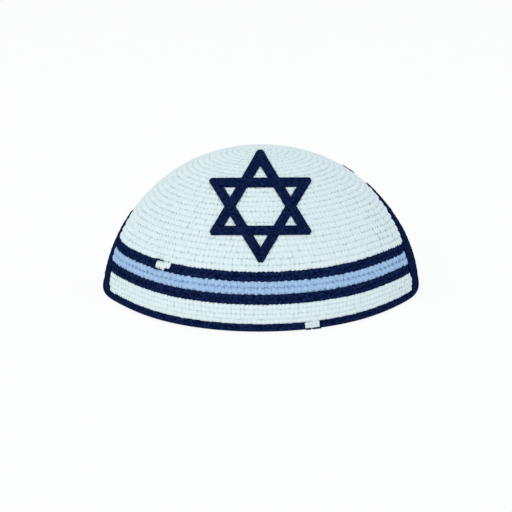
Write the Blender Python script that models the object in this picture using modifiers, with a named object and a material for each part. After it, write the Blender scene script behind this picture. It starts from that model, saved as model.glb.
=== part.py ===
"""Knitted kippah: white dome, striped rounds, navy star and navy side trims.

Metres, +Z up. The rim lies on the ground plane, the front faces -Y, and the
origin is the middle of the rim. Every round is a turned ring of the same wall.
"""

import math

import bmesh
import bpy
from mathutils import Matrix, Vector

# Dome
RIM_RADIUS = 0.080
CROWN_HEIGHT = 0.0685
SHOULDER_POWER = 2.15
FLANK_POWER = 1.71
WALL = 0.0022

# Soft corners at both sides, where the cloth folds
CORNER_HEADING = math.radians(69)
CORNER_FRONT_SPREAD = math.radians(12)
CORNER_REAR_SPREAD = math.radians(15.5)
CORNER_FOOT = 0.0024
CORNER_FULL = 0.0026
CORNER_FULL_HEIGHT = 0.030
CORNER_TOP = 0.058
CORNER_FADE = 0.7

# Clearance between neighbouring pieces
SEAM_GAP = 0.0003

# Rounds of colour, from the rim up
EDGING_HEIGHT = 0.0036
WHITE_BAND_HEIGHT = 0.0090
LOWER_STRIPE_HEIGHT = 0.0043
BLUE_BAND_HEIGHT = 0.0058
UPPER_STRIPE_HEIGHT = 0.0041

# Rim edging
EDGING_WALL = 0.0032
EDGING_ROUND = 0.0007

# Star, drawn flat as it is seen from the front and laid on the dome
STAR_HEIGHT = 0.0564
STAR_WIDTH = 0.0503
STAR_SPREAD = 0.0004
STAR_ASIDE = 0.0003
STAR_BAR = 0.0043
STAR_TIP_ROUND = 0.0015
STAR_THICKNESS = 0.0010
STAR_CENTRE_SHARE = 0.762
STAR_SHELL_SHARE = 0.3
STAR_SIGHT_DISTANCE = 0.585
STAR_SIGHT_DIP = math.radians(15.4)

# Side trims
TRIM_THICKNESS = 0.0009
TRIM_THINNING = 0.5
TRIM_FOOT = 0.0006

# White stitches that break a navy round
STRIPE_MEND_WIDTH = 0.0083
STRIPE_MEND_ANGLE = math.radians(-39.5)
RIM_MEND_WIDTH = 0.0070
RIM_MEND_ANGLE = math.radians(17.3)
RIM_MEND_FLOOR = 0.0009

# How far cutters run past the wall
CUTTER_DEPTH = 0.018

# Resolution
TURN_STEPS = 72
CROWN_ROWS = 11
TIP_STEPS = 4
ROW_STEPS = 3
ROUND_STEPS = 2
SHARP_ANGLE = math.radians(35)

# Trim outlines seen from the side, as shares of the dome's height and radius
# height share, front edge share, rear edge share (front is negative)
RIGHT_TRIM_SHARES = (
    (0.000, -0.400, -0.135),
    (0.120, -0.386, -0.105),
    (0.260, -0.368, -0.060),
    (0.400, -0.314, -0.015),
    (0.535, -0.216, 0.060),
    (0.610, -0.120, 0.095),
    (0.675, 0.010, 0.070),
)
LEFT_TRIM_SHARES = (
    (0.000, -0.395, -0.130),
    (0.110, -0.350, -0.095),
    (0.220, -0.292, -0.050),
    (0.330, -0.200, -0.010),
    (0.430, -0.142, 0.028),
    (0.530, -0.022, 0.028),
)

# Yarn colours: red, green, blue, roughness
WHITE_YARN = (0.67, 0.81, 0.85, 0.85)
BLUE_YARN = (0.32, 0.50, 0.73, 0.85)
NAVY_YARN = (0.006, 0.013, 0.052, 0.80)


def clear_scene():
    """Remove every object that the file holds."""
    for item in list(bpy.data.objects):
        bpy.data.objects.remove(item, do_unlink=True)


def new_collection(name):
    """Return a new collection linked to the scene."""
    collection = bpy.data.collections.new(name)
    bpy.context.scene.collection.children.link(collection)
    return collection


def yarn_material(name, yarn):
    """Return a plain yarn material."""
    material = bpy.data.materials.new(name)
    material.use_nodes = True
    shader = material.node_tree.nodes["Principled BSDF"]
    shader.inputs["Base Color"].default_value = (*yarn[:3], 1.0)
    shader.inputs["Roughness"].default_value = yarn[3]
    shader.inputs["Metallic"].default_value = 0.0
    material.diffuse_color = (*yarn[:3], 1.0)
    return material


def dome_point(height, offset=0.0):
    """Return radius and height of the dome's profile, moved out by offset."""
    level = min(max(height / CROWN_HEIGHT, 0.0), 1.0)
    spread = (1.0 - level ** FLANK_POWER) ** (1.0 / SHOULDER_POWER)
    normal = Vector((
        SHOULDER_POWER * spread ** (SHOULDER_POWER - 1.0) / RIM_RADIUS,
        FLANK_POWER * level ** (FLANK_POWER - 1.0) / CROWN_HEIGHT,
    )).normalized()
    radius = RIM_RADIUS * spread
    return radius + offset * normal.x, level * CROWN_HEIGHT + offset * normal.y


def heights_between(top, bottom, rows):
    """Return heights from top to bottom, crowded where the dome turns flat."""
    first = math.asin(min(top / CROWN_HEIGHT, 1.0))
    last = math.asin(bottom / CROWN_HEIGHT)
    steps = [first + (last - first) * row / rows for row in range(rows + 1)]
    return [CROWN_HEIGHT * math.sin(angle) for angle in steps]


def ring_section(top, bottom, rows, inner, outer):
    """Return a ring's section: down its outer side and up its inner side."""
    heights = heights_between(top, bottom, rows)
    outside = [dome_point(height, outer(height)) for height in heights]
    inside = [dome_point(height, inner(height)) for height in reversed(heights)]
    return outside + inside


def wall_section(bottom, top, rows):
    """Return the section of a round of the wall, seam gaps taken off."""
    return ring_section(
        top - SEAM_GAP / 2,
        bottom + SEAM_GAP / 2,
        rows,
        lambda height: -WALL,
        lambda height: 0.0,
    )


def edging_section(top):
    """Return the rim edging's section, flat below with rounded corners."""
    upper = top - SEAM_GAP / 2
    low = EDGING_ROUND
    outer_foot, inner_foot = RIM_RADIUS, RIM_RADIUS - EDGING_WALL
    section = [dome_point(upper), dome_point(low)]
    for turn in range(1, ROUND_STEPS + 1):
        angle = math.radians(90 * turn / ROUND_STEPS)
        section.append((
            outer_foot - low * (1 - math.cos(angle)),
            low * (1 - math.sin(angle)),
        ))
    for turn in range(ROUND_STEPS, 0, -1):
        angle = math.radians(90 * turn / ROUND_STEPS)
        section.append((
            inner_foot + low * (1 - math.cos(angle)),
            low * (1 - math.sin(angle)),
        ))
    section += [dome_point(low, -EDGING_WALL), dome_point(upper, -EDGING_WALL)]
    return section


def turned_object(name, section, closed, collection, material=None):
    """Turn a section round Z into an object with a Screw modifier."""
    mesh = bpy.data.meshes.new(name)
    points = [(radius, 0.0, height) for radius, height in section]
    edges = [(index, index + 1) for index in range(len(points) - 1)]
    if closed:
        edges.append((len(points) - 1, 0))
    mesh.from_pydata(points, edges, [])
    turned = bpy.data.objects.new(name, mesh)
    collection.objects.link(turned)
    screw = turned.modifiers.new("turn", "SCREW")
    screw.axis = "Z"
    screw.angle = math.tau
    screw.steps = TURN_STEPS
    screw.render_steps = TURN_STEPS
    screw.use_merge_vertices = True
    screw.merge_threshold = 0.00001
    if material:
        mesh.materials.append(material)
    return turned


def as_cutter(item):
    """Mark an object as a cutter."""
    item.hide_render = True
    item.display_type = "WIRE"
    return item


def combine(target, other, operation):
    """Add an exact Boolean between two objects."""
    boolean = target.modifiers.new(operation.lower(), "BOOLEAN")
    boolean.operation = operation
    boolean.solver = "EXACT"
    boolean.object = other


def outline_prism(name, outlines, half_depth, matrix, collection):
    """Extrude flat closed outlines into a prism mesh, placed by a matrix."""
    curve = bpy.data.curves.new(name, "CURVE")
    curve.dimensions = "2D"
    curve.fill_mode = "BOTH"
    curve.extrude = half_depth
    for outline in outlines:
        spline = curve.splines.new("POLY")
        spline.points.add(len(outline) - 1)
        for point, (across, up) in zip(spline.points, outline):
            point.co = (across, up, 0.0, 1.0)
        spline.use_cyclic_u = True
    guide = bpy.data.objects.new(name + "_curve", curve)
    collection.objects.link(guide)
    graph = bpy.context.evaluated_depsgraph_get()
    mesh = bpy.data.meshes.new_from_object(guide.evaluated_get(graph))
    bpy.data.objects.remove(guide, do_unlink=True)
    weld(mesh)
    prism = bpy.data.objects.new(name, mesh)
    prism.matrix_world = matrix
    collection.objects.link(prism)
    return as_cutter(prism)


def weld(mesh):
    """Join the loose caps of a mesh made from a curve and face it outwards."""
    work = bmesh.new()
    work.from_mesh(mesh)
    bmesh.ops.remove_doubles(work, verts=work.verts, dist=0.000001)
    bmesh.ops.recalc_face_normals(work, faces=work.faces)
    work.to_mesh(mesh)
    work.free()


def star_apothem():
    """Return how far the sides of the star's triangles lie from their middles."""
    return (STAR_HEIGHT / 2 - STAR_SPREAD) / 2


def triangle_outline(apothem, rounding, point_angle):
    """Return the outline of one of the star's triangles with rounded corners."""
    reach = 2.0 * (apothem - rounding)
    steps = TIP_STEPS if rounding else 0
    stretch = STAR_WIDTH / (2.0 * math.sqrt(3.0) * star_apothem())
    shift = STAR_SPREAD * math.sin(point_angle)
    outline = []
    for corner in range(3):
        heading = point_angle + math.radians(120 * corner)
        for step in range(steps + 1):
            swing = math.radians(-60 + 120 * step / steps) if steps else 0.0
            outline.append((
                stretch * (reach * math.cos(heading) + rounding * math.cos(heading + swing)),
                shift + reach * math.sin(heading) + rounding * math.sin(heading + swing),
            ))
    return outline


def star_frame(name, point_angle, half_depth, matrix, collection):
    """Return one of the star's two triangle frames, narrowing towards the eye."""
    outlines = [
        triangle_outline(star_apothem(), STAR_TIP_ROUND, point_angle),
        triangle_outline(star_apothem() - STAR_BAR, 0.0, point_angle),
    ]
    frame = outline_prism(name, outlines, half_depth, matrix, collection)
    for vertex in frame.data.vertices:
        narrowing = (STAR_SIGHT_DISTANCE - vertex.co.z) / STAR_SIGHT_DISTANCE
        vertex.co.x *= narrowing
        vertex.co.y *= narrowing
    return frame


def build_star(parts, cutters, material):
    """Lay the star on the front of the dome along the line of sight."""
    shell_bottom = CROWN_HEIGHT * STAR_SHELL_SHARE
    heights = heights_between(CROWN_HEIGHT, shell_bottom, CROWN_ROWS)
    outer = SEAM_GAP + STAR_THICKNESS
    section = [dome_point(height, outer) for height in heights]
    section += [dome_point(height, SEAM_GAP) for height in reversed(heights)]
    star = turned_object("star", section, False, parts, material)
    radius, height = dome_point(STAR_CENTRE_SHARE * CROWN_HEIGHT)
    to_eye = Vector((0.0, -math.cos(STAR_SIGHT_DIP), math.sin(STAR_SIGHT_DIP)))
    across = Vector((1.0, 0.0, 0.0))
    matrix = Matrix((across, to_eye.cross(across), to_eye)).transposed().to_4x4()
    matrix.translation = (-STAR_ASIDE, -radius, height)
    reach = 0.7 * RIM_RADIUS
    frame = star_frame("star_frame_up", math.radians(90), reach, matrix, cutters)
    shorter = reach - WALL
    other = star_frame("star_frame_down", math.radians(-90), shorter, matrix, cutters)
    combine(frame, other, "UNION")
    combine(star, frame, "INTERSECT")


def smooth_rows(rows):
    """Return the rows of a table joined by a smooth curve."""
    padded = [rows[0], *rows, rows[-1]]
    curve = []
    for index in range(1, len(padded) - 2):
        before, start, end, after = (Vector(padded[index + shift]) for shift in (-1, 0, 1, 2))
        for step in range(ROW_STEPS):
            share = step / ROW_STEPS
            curve.append(
                start
                + 0.5 * share * (end - before)
                + share ** 2 * (before - 2.5 * start + 2.0 * end - 0.5 * after)
                + share ** 3 * (1.5 * start - 0.5 * before - 1.5 * end + 0.5 * after)
            )
    curve.append(Vector(rows[-1]))
    return curve


def build_trim(name, side, rows, parts, cutters, material):
    """Build a side trim: a thin shell over the rounds, cut to its outline."""
    top = rows[-1][0] * CROWN_HEIGHT

    def outer(height):
        """Return how far the trim stands off the wall at a height."""
        return SEAM_GAP + TRIM_THICKNESS * (1.0 - TRIM_THINNING * height / top)

    section = ring_section(top, TRIM_FOOT, CROWN_ROWS, lambda height: SEAM_GAP, outer)
    trim = turned_object(name, section, True, parts, material)
    curve = smooth_rows(rows)
    front = [(row.y * RIM_RADIUS, row.x * CROWN_HEIGHT) for row in curve]
    rear = [(row.z * RIM_RADIUS, row.x * CROWN_HEIGHT) for row in reversed(curve)]
    front[0] = (front[0][0], -TRIM_FOOT)
    rear[-1] = (rear[-1][0], -TRIM_FOOT)
    matrix = Matrix(((0, 1, 0), (0, 0, 1), (1, 0, 0))).transposed().to_4x4()
    far = RIM_RADIUS + CUTTER_DEPTH
    near = RIM_RADIUS * 0.3
    matrix.translation = (side * (far + near) / 2, 0.0, 0.0)
    half_depth = (far - near) / 2
    outline = outline_prism(name + "_outline", [front + rear], half_depth, matrix, cutters)
    combine(trim, outline, "INTERSECT")


def mend_box(name, angle, width, bottom, top, collection):
    """Return a box cutter that spans a round's wall at an angle from the front."""
    middle = (bottom + top) / 2
    radius = dome_point(middle, -WALL / 2)[0]
    place = (radius * math.sin(angle), -radius * math.cos(angle), middle)
    bpy.ops.mesh.primitive_cube_add(size=1.0, location=place, rotation=(0, 0, angle))
    box = bpy.context.object
    box.name = name
    for owner in list(box.users_collection):
        owner.objects.unlink(box)
    collection.objects.link(box)
    box.scale = (width, CUTTER_DEPTH, top - bottom)
    return as_cutter(box)


def build_mend(name, host, section, angle, width, bottom, top, parts, cutters, material):
    """Cut a notch in a navy round and fill it with a run of white stitches."""
    above = top + WALL
    notch = mend_box(name + "_notch", angle, width + 2 * SEAM_GAP, bottom, above, cutters)
    combine(host, notch, "DIFFERENCE")
    filling = mend_box(name + "_block", angle, width, bottom + SEAM_GAP, above, cutters)
    mend = turned_object(name, section, True, parts, material)
    combine(mend, filling, "INTERSECT")


def corner(place):
    """Return how far a place is pushed out by the soft corners at the sides."""
    away = abs(math.atan2(place.x, -place.y)) - CORNER_HEADING
    away /= CORNER_FRONT_SPREAD if away < 0.0 else CORNER_REAR_SPREAD
    share = min(max(place.z / CORNER_FULL_HEIGHT, 0.0), 1.0)
    depth = CORNER_FOOT + (CORNER_FULL - CORNER_FOOT) * share
    fade = (CORNER_TOP - place.z) / (CORNER_TOP - CORNER_FULL_HEIGHT)
    fade = min(max(fade, 0.0), 1.0) ** CORNER_FADE
    return depth * fade * math.exp(-away ** 2)


def finish_part(part):
    """Keep a part's evaluated mesh, with the soft corners and shaded smooth."""
    graph = bpy.context.evaluated_depsgraph_get()
    mesh = bpy.data.meshes.new_from_object(part.evaluated_get(graph))
    for vertex in mesh.vertices:
        radius = math.hypot(vertex.co.x, vertex.co.y)
        if radius > WALL:
            growth = 1.0 + corner(vertex.co) / radius
            vertex.co.x *= growth
            vertex.co.y *= growth
    part.modifiers.clear()
    part.data = mesh
    mesh.name = part.name
    mesh.shade_smooth()
    mesh.set_sharp_from_angle(angle=SHARP_ANGLE)


def build_rounds(parts, materials):
    """Build the crown and the coloured rounds and return them with their sections."""
    levels = [0.0]
    for height in (
        EDGING_HEIGHT,
        WHITE_BAND_HEIGHT,
        LOWER_STRIPE_HEIGHT,
        BLUE_BAND_HEIGHT,
        UPPER_STRIPE_HEIGHT,
    ):
        levels.append(levels[-1] + height)
    sections = {
        "rim_edging": edging_section(levels[1]),
        "white_band": wall_section(levels[1], levels[2], 3),
        "lower_stripe": wall_section(levels[2], levels[3], 2),
        "blue_band": wall_section(levels[3], levels[4], 2),
        "upper_stripe": wall_section(levels[4], levels[5], 2),
    }
    rounds = {
        name: turned_object(name, section, True, parts, materials[name])
        for name, section in sections.items()
    }
    heights = heights_between(CROWN_HEIGHT, levels[5] + SEAM_GAP / 2, CROWN_ROWS)
    outside = [dome_point(height) for height in heights]
    inside = [dome_point(height, -WALL) for height in reversed(heights)]
    turned_object("crown", outside + inside, False, parts, materials["crown"])
    return rounds, sections, levels


def main():
    """Build the kippah."""
    clear_scene()
    parts = new_collection("kippah")
    cutters = new_collection("kippah_cutters")
    yarns = {
        "crown": WHITE_YARN,
        "upper_stripe": NAVY_YARN,
        "blue_band": BLUE_YARN,
        "lower_stripe": NAVY_YARN,
        "white_band": WHITE_YARN,
        "rim_edging": NAVY_YARN,
        "star": NAVY_YARN,
        "right_side_trim": NAVY_YARN,
        "left_side_trim": NAVY_YARN,
        "stripe_mend": WHITE_YARN,
        "rim_mend": WHITE_YARN,
    }
    materials = {name: yarn_material(name + "_yarn", yarn) for name, yarn in yarns.items()}
    rounds, sections, levels = build_rounds(parts, materials)
    build_star(parts, cutters, materials["star"])
    for name, side, rows in (
        ("right_side_trim", 1, RIGHT_TRIM_SHARES),
        ("left_side_trim", -1, LEFT_TRIM_SHARES),
    ):
        build_trim(name, side, rows, parts, cutters, materials[name])
    build_mend(
        "stripe_mend",
        rounds["upper_stripe"],
        sections["upper_stripe"],
        STRIPE_MEND_ANGLE,
        STRIPE_MEND_WIDTH,
        levels[4] - WALL,
        levels[5],
        parts,
        cutters,
        materials["stripe_mend"],
    )
    build_mend(
        "rim_mend",
        rounds["rim_edging"],
        sections["rim_edging"],
        RIM_MEND_ANGLE,
        RIM_MEND_WIDTH,
        RIM_MEND_FLOOR,
        levels[1],
        parts,
        cutters,
        materials["rim_mend"],
    )
    for part in parts.objects:
        finish_part(part)


main()
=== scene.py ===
import logging
import math
from dataclasses import dataclass, field, replace
from enum import Enum
from typing import Callable

import bmesh
import bpy
import numpy as np
from mathutils import Matrix, Vector


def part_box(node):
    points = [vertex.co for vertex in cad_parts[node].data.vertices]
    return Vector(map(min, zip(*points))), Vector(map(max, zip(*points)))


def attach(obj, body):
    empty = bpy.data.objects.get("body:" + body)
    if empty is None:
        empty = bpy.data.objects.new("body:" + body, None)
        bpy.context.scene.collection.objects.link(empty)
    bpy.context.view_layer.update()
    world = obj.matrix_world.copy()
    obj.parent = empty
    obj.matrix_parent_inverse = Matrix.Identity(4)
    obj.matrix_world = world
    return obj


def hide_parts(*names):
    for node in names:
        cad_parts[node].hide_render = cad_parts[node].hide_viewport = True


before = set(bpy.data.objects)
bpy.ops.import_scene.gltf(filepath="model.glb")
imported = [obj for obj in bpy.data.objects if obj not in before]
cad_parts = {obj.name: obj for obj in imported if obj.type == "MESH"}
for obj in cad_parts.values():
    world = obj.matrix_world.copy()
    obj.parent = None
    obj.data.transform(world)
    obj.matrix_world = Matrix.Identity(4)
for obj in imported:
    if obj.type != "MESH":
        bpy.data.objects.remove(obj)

log = logging.getLogger("kippah")

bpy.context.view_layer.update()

# Sizes that the finished meshes share, in metres
STITCH_PITCH = 0.0042
WALL = 0.0022
EDGING_WALL = 0.0032
SAME_PLACE = 0.0000002

# Dome profile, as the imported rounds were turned
SHOULDER_POWER = 2.15
FLANK_POWER = 1.71

# Trim outlines seen from the side: height share, front edge share, rear edge share
RIGHT_TRIM_SHARES = (
    (0.000, -0.400, -0.135),
    (0.120, -0.386, -0.105),
    (0.260, -0.368, -0.060),
    (0.400, -0.314, -0.015),
    (0.535, -0.216, 0.060),
    (0.610, -0.122, 0.098),
    (0.660, -0.038, 0.118),
    (0.706, 0.048, 0.124),
)
LEFT_TRIM_SHARES = (
    (0.000, -0.395, -0.130),
    (0.110, -0.350, -0.095),
    (0.220, -0.292, -0.050),
    (0.330, -0.200, -0.010),
    (0.430, -0.142, 0.028),
    (0.530, -0.022, 0.028),
)


class Slot(Enum):
    """Material slot names, one for each yarn."""

    WHITE = "white_yarn"
    BLUE = "blue_yarn"
    NAVY = "navy_yarn"


class Term:
    """A value socket on which Python's operators add Math nodes."""

    def __init__(self, recipe: "Recipe", socket: bpy.types.NodeSocket) -> None:
        """Wrap a socket of a recipe's node tree."""
        self.recipe = recipe
        self.socket = socket

    def _math(self, operation: str, left: "Term | float", right: "Term | float") -> "Term":
        """Return the result of a Math node on two values."""
        return self.recipe.add("ShaderNodeMath", {"operation": operation}, {0: left, 1: right})

    def __add__(self, other: "Term | float") -> "Term":
        """Return the sum."""
        return self._math("ADD", self, other)

    def __radd__(self, other: "Term | float") -> "Term":
        """Return the sum."""
        return self._math("ADD", other, self)

    def __sub__(self, other: "Term | float") -> "Term":
        """Return the difference."""
        return self._math("SUBTRACT", self, other)

    def __rsub__(self, other: "Term | float") -> "Term":
        """Return the difference, turned round."""
        return self._math("SUBTRACT", other, self)

    def __mul__(self, other: "Term | float") -> "Term":
        """Return the product."""
        return self._math("MULTIPLY", self, other)

    def __rmul__(self, other: "Term | float") -> "Term":
        """Return the product."""
        return self._math("MULTIPLY", other, self)

    def sine(self) -> "Term":
        """Return the sine."""
        return self._math("SINE", self, 0.0)

    def clamped(self) -> "Term":
        """Return the value held between 0 and 1."""
        return self.recipe.add("ShaderNodeClamp", {}, {"Value": self})


Inputs = dict[str | int, "Term | float | tuple"]


class Recipe:
    """A material's node tree, built from typed steps."""

    def __init__(self, name: str) -> None:
        """Start a material that holds only its surface shader and output.

        Args:
            name: The material's name.
        """
        self.material = bpy.data.materials.new(name)
        self.material.use_nodes = True
        self.tree = self.material.node_tree
        self.shader = self.tree.nodes["Principled BSDF"]

    def add(self, kind: str, settings: dict, inputs: Inputs, output: str | int = 0) -> Term:
        """Add one node, with its settings first.

        Args:
            kind: The node's type.
            settings: Values of the node's own properties.
            inputs: Values or links of its sockets.
            output: The socket to return.

        Returns:
            The chosen output as a term.
        """
        node = self.tree.nodes.new(kind)
        for name, value in settings.items():
            setattr(node, name, value)
        self.fill(node, inputs)
        return Term(self, node.outputs[output])

    def fill(self, node: bpy.types.Node, inputs: Inputs) -> None:
        """Give a node's sockets their links or values.

        Args:
            node: The node.
            inputs: Values or links of its sockets.
        """
        for name, value in inputs.items():
            if isinstance(value, Term):
                self.tree.links.new(value.socket, node.inputs[name])
            else:
                node.inputs[name].default_value = value

    def blend(self, factor: Term, first: "Term | tuple", second: "Term | tuple") -> Term:
        """Return a colour between two colours."""
        settings = {"data_type": "RGBA"}
        return self.add("ShaderNodeMix", settings, {0: factor, 6: first, 7: second}, 2)

    def noise(self, scale: float, detail: float) -> Term:
        """Return a noise value that follows the object's own space.

        Args:
            scale: How fine it is, in waves a metre.
            detail: How many finer layers it has.

        Returns:
            The noise.
        """
        place = self.add("ShaderNodeTexCoord", {}, {}, "Object")
        inputs = {"Vector": place, "Scale": scale, "Detail": detail}
        return self.add("ShaderNodeTexNoise", {}, inputs)

    def stored(self, name: str) -> Term:
        """Return a value that the mesh stores at its points."""
        return self.add("ShaderNodeAttribute", {"attribute_name": name}, {}, "Fac")


def rgba(red: float, green: float, blue: float) -> tuple[float, float, float, float]:
    """Return a linear colour from display values of 0 to 255.

    Args:
        red: The red channel.
        green: The green channel.
        blue: The blue channel.

    Returns:
        The opaque linear colour.
    """

    def linear(value: float) -> float:
        """Return one channel without its display curve."""
        share = value / 255.0
        return share / 12.92 if share <= 0.04045 else ((share + 0.055) / 1.055) ** 2.4

    return (linear(red), linear(green), linear(blue), 1.0)


@dataclass(frozen=True)
class YarnFinish:
    """A cotton yarn's finish: colours in display values, and its surface. Besides its body colour
    and slow tint, it holds a painted highlight colour for the stitch tops and a painted shade
    colour for the grooves.
    """

    name: str
    slot: Slot
    # Painted highlight colour: laid on the stitch tops and in random glints
    painted_highlight: tuple[float, float, float]
    body: tuple[float, float, float]
    # Painted shade colour: laid in the grooves, on the strands' sides and on the backing, and in
    # random dark specks
    painted_shade: tuple[float, float, float]
    tint: tuple[float, float, float]
    mottle: float = 0.25
    roughness: float = 0.9
    sheen: float = 0.04
    specular: float = 0.1
    relief: float = 0.00012
    relief_strength: float = 0.6
    fuzz_scale: float = 2600.0
    cloud_scale: float = 55.0
    speck_scale: float = 1150.0
    glint_scale: float = 870.0
    ply_turns: float = 9.0

    def material(self) -> bpy.types.Material:
        """Return the yarn's material.

        Returns:
            A material with fuzz, plies, tone from stitch to stitch, slow tint, painted shade in
            the grooves and a painted highlight on the stitch tops.
        """
        recipe = Recipe(self.name)
        tone, crest = recipe.stored("tone"), recipe.stored("crest")
        fuzz = recipe.noise(self.fuzz_scale, 4.0)
        cloud = recipe.noise(self.cloud_scale, 2.0)
        # Painted shade: where the crest value is low (in grooves, on strand sides and on the
        # backing between strands), the body colour gives way to the painted shade colour
        cover = (crest * 0.8 + fuzz * 0.5 - 0.15).clamped()
        base = recipe.blend(cover, rgba(*self.painted_shade), rgba(*self.body))
        # Painted highlight on the stitch tops, stronger on lighter-toned stitches
        lift = (tone * 0.5 + fuzz * 0.5).clamped()
        base = recipe.blend(lift * crest, base, rgba(*self.painted_highlight))
        base = recipe.blend((cloud * 2.0 - 0.6).clamped() * 0.5, base, rgba(*self.tint))
        # Random flecks: dark specks in the painted shade colour, and painted glints in the
        # painted highlight colour
        specks = recipe.noise(self.speck_scale, 1.0) * 5.0 - 2.0
        base = recipe.blend(specks.clamped() * self.mottle, base, rgba(*self.painted_shade))
        glints = recipe.noise(self.glint_scale, 1.0) * 5.0 - 2.3
        base = recipe.blend(glints.clamped() * self.mottle, base, rgba(*self.painted_highlight))
        where = recipe.add("ShaderNodeUVMap", {"uv_map": "along"}, {})
        across = recipe.add("ShaderNodeSeparateXYZ", {}, {0: where})
        along = Term(recipe, across.socket.node.outputs[1])
        plies = (across * (2 * math.tau) + along * self.ply_turns).sine() * 0.5 + fuzz * 1.2
        ridges = {"Strength": self.relief_strength, "Distance": self.relief, "Height": plies}
        recipe.fill(
            recipe.shader,
            {
                "Base Color": base,
                "Normal": recipe.add("ShaderNodeBump", {}, ridges),
                "Roughness": self.roughness,
                "Sheen Weight": self.sheen,
                "Specular IOR Level": self.specular,
            },
        )
        return recipe.material


# Each yarn: a painted highlight colour, its body colour, a painted shade colour for the grooves
# and a slow tint
WHITE = YarnFinish(
    name="white_cotton",
    slot=Slot.WHITE,
    painted_highlight=(234, 244, 246),
    body=(218, 233, 237),
    painted_shade=(211, 227, 233),
    tint=(222, 240, 236),
)
BLUE = YarnFinish(
    name="light_blue_cotton",
    slot=Slot.BLUE,
    painted_highlight=(184, 214, 245),
    body=(162, 195, 230),
    painted_shade=(92, 136, 178),
    tint=(168, 188, 226),
)
NAVY = YarnFinish(
    name="navy_cotton",
    slot=Slot.NAVY,
    painted_highlight=(27, 45, 86),
    body=(10, 26, 61),
    painted_shade=(0, 6, 36),
    tint=(18, 26, 72),
    mottle=0.8,
    sheen=0.0,
    specular=0.0,
)
DYES: dict[str, bpy.types.Material] = {}


def heading_of(turn: np.ndarray) -> np.ndarray:
    """Return angles from the front between half a turn left and half a turn right."""
    return np.mod(turn + math.pi, math.tau) - math.pi


@dataclass
class Dome:
    """The dome's outer form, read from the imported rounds.

    Each soft corner has a depth at the rim, a full depth above it and the height of its end.
    """

    radius: float
    height: float
    left_corner: tuple[float, float, float] = (0.0026, 0.0013, 0.046)
    right_corner: tuple[float, float, float] = (0.0021, 0.0032, 0.066)
    corner_headings: tuple[float, float] = (math.radians(71.5), math.radians(68.8))
    corner_front_spread: float = math.radians(12)
    corner_rear_spread: float = math.radians(15.6)
    corner_full_height: float = 0.030
    corner_fade: float = 0.7
    samples: int = 2000
    heights: np.ndarray = field(init=False)
    radii: np.ndarray = field(init=False)
    arcs: np.ndarray = field(init=False)
    lean: np.ndarray = field(init=False)

    def __post_init__(self) -> None:
        """Tabulate the profile from the rim to the top."""
        level = np.sin(np.linspace(0.0, np.pi / 2, self.samples))
        spread = np.clip(1.0 - level ** FLANK_POWER, 0.0, 1.0) ** (1.0 / SHOULDER_POWER)
        self.heights = self.height * level
        self.radii = self.radius * spread
        steps = np.hypot(np.diff(self.radii), np.diff(self.heights))
        self.arcs = np.concatenate([[0.0], np.cumsum(steps)])
        self.lean = np.arctan2(*self.slopes(spread, level)[::-1])

    def slopes(self, ring: np.ndarray, level: np.ndarray) -> tuple[np.ndarray, np.ndarray]:
        """Return how far the surface faces outwards and upwards.

        Args:
            ring: Distances from the axis, as shares of the radius.
            level: Heights, as shares of the dome's height.

        Returns:
            The outward and the upward part of the surface's direction.
        """
        outward = SHOULDER_POWER * ring ** (SHOULDER_POWER - 1.0) / self.radius
        return outward, FLANK_POWER * level ** (FLANK_POWER - 1.0) / self.height

    @property
    def top_arc(self) -> float:
        """The way from the rim to the top along the surface."""
        return float(self.arcs[-1])

    def arc_at(self, height: float) -> float:
        """Return the way along the surface up to a height."""
        return float(np.interp(height, self.heights, self.arcs))

    def radius_at(self, arc: float | np.ndarray) -> np.ndarray:
        """Return the radius at a way along the surface."""
        return np.interp(arc, self.arcs, self.radii)

    def height_at(self, arc: float | np.ndarray) -> np.ndarray:
        """Return the height at a way along the surface."""
        return np.interp(arc, self.arcs, self.heights)

    def corner(self, turn: np.ndarray, height: np.ndarray) -> np.ndarray:
        """Return how far the soft corners at both sides push the cloth out.

        Args:
            turn: Angles from the front, positive to the right.
            height: Heights over the rim.

        Returns:
            The extra radius.
        """
        heading = heading_of(turn)
        away = np.abs(heading) - np.where(heading < 0.0, *self.corner_headings)
        away = away / np.where(away < 0.0, self.corner_front_spread, self.corner_rear_spread)
        share = np.clip(height / self.corner_full_height, 0.0, 1.0)
        depths = []
        for foot, full, top in (self.left_corner, self.right_corner):
            fade = np.clip((top - height) / (top - self.corner_full_height), 0.0, 1.0)
            depths.append((foot + (full - foot) * share) * fade ** self.corner_fade)
        return np.where(heading < 0.0, *depths) * np.exp(-away ** 2)

    def place(
        self, turn: np.ndarray, arc: np.ndarray | float, lift: np.ndarray | float
    ) -> tuple[np.ndarray, np.ndarray]:
        """Return points on the dome and their outward directions.

        Args:
            turn: Angles from the front, positive to the right.
            arc: Ways along the surface from the rim; below 0 they hang straight down.
            lift: Distances off the surface, positive outwards.

        Returns:
            The points and the outward unit vectors.
        """
        turn, arc, lift = np.broadcast_arrays(turn, arc, lift)
        lean = np.interp(arc, self.arcs, self.lean)
        height = self.height_at(arc) + np.minimum(arc, 0.0) + lift * np.sin(lean)
        radius = self.radius_at(arc) + lift * np.cos(lean) + self.corner(turn, height)
        sine, cosine = np.sin(turn), np.cos(turn)
        points = np.stack([radius * sine, -radius * cosine, height], axis=-1)
        flat = np.cos(lean)
        outward = np.stack([flat * sine, -flat * cosine, np.sin(lean)], axis=-1)
        return points, outward


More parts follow.
